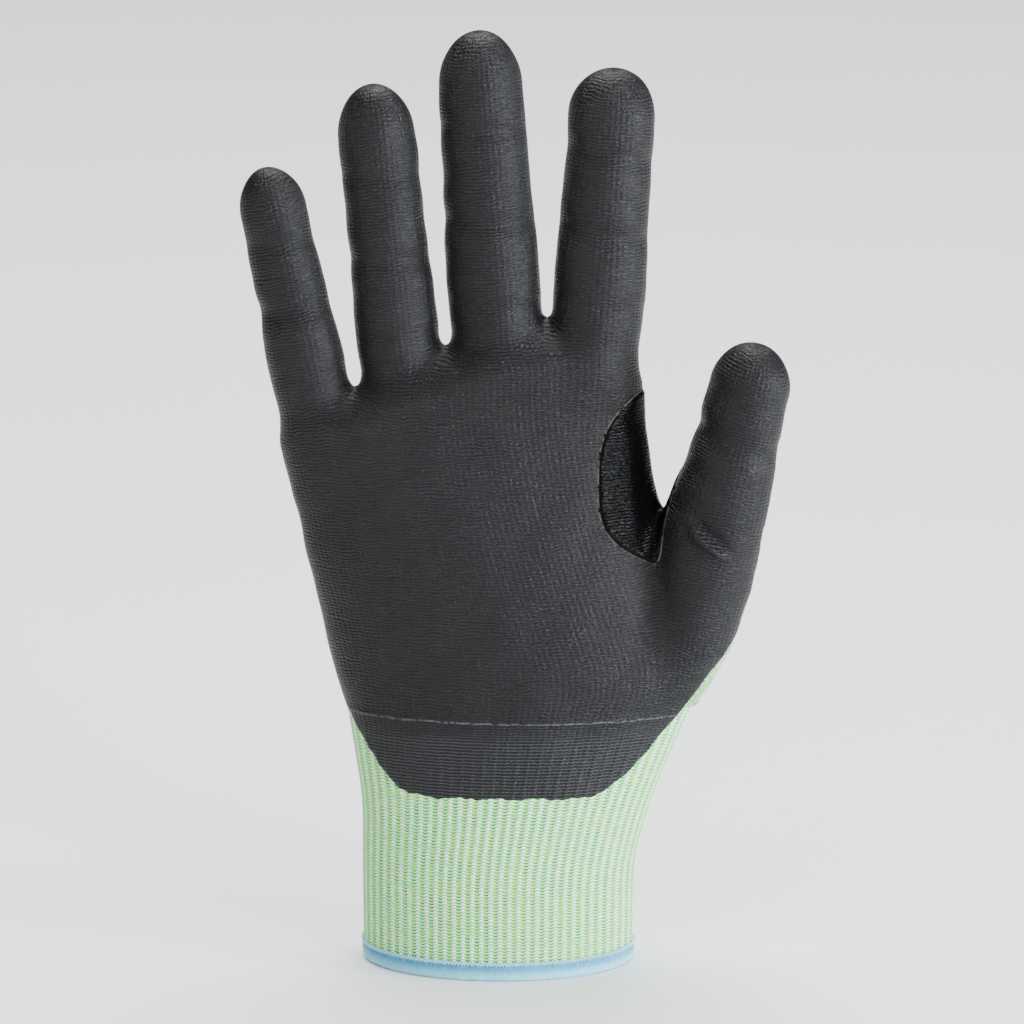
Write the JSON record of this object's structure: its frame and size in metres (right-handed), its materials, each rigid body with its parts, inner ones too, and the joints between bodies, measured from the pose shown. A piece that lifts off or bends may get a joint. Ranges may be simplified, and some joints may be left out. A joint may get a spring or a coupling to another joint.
{
  "type": "cut resistant glove",
  "caption": "Right-hand knitted cut resistant work glove with a coated palm, an elastic knit cuff and an overlocked hem, jointed at the wrist, finger roots and knuckles.",
  "frame": {"origin": "centre of the cuff's opening, in the plane of the hem's bottom edge", "axes": "+Z from the hem to the fingertips, -Y out of the palm, +X towards the thumb"},
  "size_m": [0.1444, 0.0534, 0.25],
  "materials": {
    "knit": "heather green and white rib knit",
    "hem": "light blue overlock thread",
    "elastic": "covered elastic yarn",
    "coating": "satin foam nitrile with the knit telegraphing through",
    "patch": "smooth glossy nitrile"
  },
  "bodies": {
    "cuff": {"cuff_knit": "knit", "cuff_elastic": "elastic", "hem_binding": "hem", "heel_coating": "coating"},
    "hand": {"palm_liner": "knit", "palm_coating": "coating", "crotch_patch": "patch"},
    "little_proximal": {"little_proximal_liner": "knit", "little_proximal_coating": "coating"},
    "little_middle": {"little_middle_liner": "knit", "little_middle_coating": "coating"},
    "little_distal": {"little_distal_liner": "knit", "little_distal_coating": "coating"},
    "ring_proximal": {"ring_proximal_liner": "knit", "ring_proximal_coating": "coating"},
    "ring_middle": {"ring_middle_liner": "knit", "ring_middle_coating": "coating"},
    "ring_distal": {"ring_distal_liner": "knit", "ring_distal_coating": "coating"},
    "middle_proximal": {"middle_proximal_liner": "knit", "middle_proximal_coating": "coating"},
    "middle_middle": {"middle_middle_liner": "knit", "middle_middle_coating": "coating"},
    "middle_distal": {"middle_distal_liner": "knit", "middle_distal_coating": "coating"},
    "index_proximal": {"index_proximal_liner": "knit", "index_proximal_coating": "coating"},
    "index_middle": {"index_middle_liner": "knit", "index_middle_coating": "coating"},
    "index_distal": {"index_distal_liner": "knit", "index_distal_coating": "coating"},
    "thumb_proximal": {"thumb_proximal_liner": "knit", "thumb_proximal_coating": "coating"},
    "thumb_distal": {"thumb_distal_liner": "knit", "thumb_distal_coating": "coating"}
  },
  "joints": [
    {"name": "wrist", "type": "hinge", "parent": "cuff", "child": "hand", "pos_m": [0, 0, 0.057], "axis": [1, 0, 0], "range_deg": [-30, 30]},
    {"name": "little_root", "type": "hinge", "parent": "hand", "child": "little_proximal", "pos_m": [-0.0503, -0.00532, 0.16], "axis": [0.9799, 0, 0.1994], "range_deg": [-8, 75]},
    {"name": "little_knuckle", "type": "hinge", "parent": "little_proximal", "child": "little_middle", "pos_m": [-0.05369, -0.00475, 0.17666], "axis": [0.9799, 0, 0.1994], "range_deg": [-8, 75]},
    {"name": "little_tip", "type": "hinge", "parent": "little_middle", "child": "little_distal", "pos_m": [-0.05728, -0.00458, 0.1943], "axis": [0.9799, 0, 0.1994], "range_deg": [-5, 45]},
    {"name": "ring_root", "type": "hinge", "parent": "hand", "child": "ring_proximal", "pos_m": [-0.0266, -0.00573, 0.17], "axis": [0.9952, 0, 0.0976], "range_deg": [-8, 75]},
    {"name": "ring_knuckle", "type": "hinge", "parent": "ring_proximal", "child": "ring_middle", "pos_m": [-0.02855, -0.00537, 0.1899], "axis": [0.9952, 0, 0.0976], "range_deg": [-8, 75]},
    {"name": "ring_tip", "type": "hinge", "parent": "ring_middle", "child": "ring_distal", "pos_m": [-0.03075, -0.00523, 0.2123], "axis": [0.9952, 0, 0.0976], "range_deg": [-5, 45]},
    {"name": "middle_root", "type": "hinge", "parent": "hand", "child": "middle_proximal", "pos_m": [-0.0006, -0.00645, 0.179], "axis": [0.9976, 0, 0.0698], "range_deg": [-8, 75]},
    {"name": "middle_knuckle", "type": "hinge", "parent": "middle_proximal", "child": "middle_middle", "pos_m": [-0.0021, -0.0061, 0.20045], "axis": [0.9976, 0, 0.0698], "range_deg": [-8, 75]},
    {"name": "middle_tip", "type": "hinge", "parent": "middle_middle", "child": "middle_distal", "pos_m": [-0.00381, -0.00575, 0.22489], "axis": [0.9976, 0, 0.0698], "range_deg": [-5, 45]},
    {"name": "index_root", "type": "hinge", "parent": "hand", "child": "index_proximal", "pos_m": [0.0263, -0.0064, 0.179], "axis": [0.9976, 0, -0.0698], "range_deg": [-8, 75]},
    {"name": "index_knuckle", "type": "hinge", "parent": "index_proximal", "child": "index_middle", "pos_m": [0.02763, -0.00601, 0.19795], "axis": [0.9976, 0, -0.0698], "range_deg": [-8, 75]},
    {"name": "index_tip", "type": "hinge", "parent": "index_middle", "child": "index_distal", "pos_m": [0.02906, -0.00588, 0.2184], "axis": [0.9976, 0, -0.0698], "range_deg": [-5, 45]},
    {"name": "thumb_root", "type": "hinge", "parent": "hand", "child": "thumb_proximal", "pos_m": [0.05536, -0.01432, 0.12402], "axis": [0.8731, -0.4203, -0.2469], "range_deg": [-8, 45]},
    {"name": "thumb_knuckle", "type": "hinge", "parent": "thumb_proximal", "child": "thumb_distal", "pos_m": [0.06074, -0.01539, 0.14485], "axis": [0.8731, -0.4203, -0.2469], "range_deg": [-8, 55]}
  ],
  "couplings": [
    {"joint": "little_tip", "follows": "little_knuckle", "ratio": 0.6},
    {"joint": "ring_tip", "follows": "ring_knuckle", "ratio": 0.6},
    {"joint": "middle_tip", "follows": "middle_knuckle", "ratio": 0.6},
    {"joint": "index_tip", "follows": "index_knuckle", "ratio": 0.6}
  ]
}
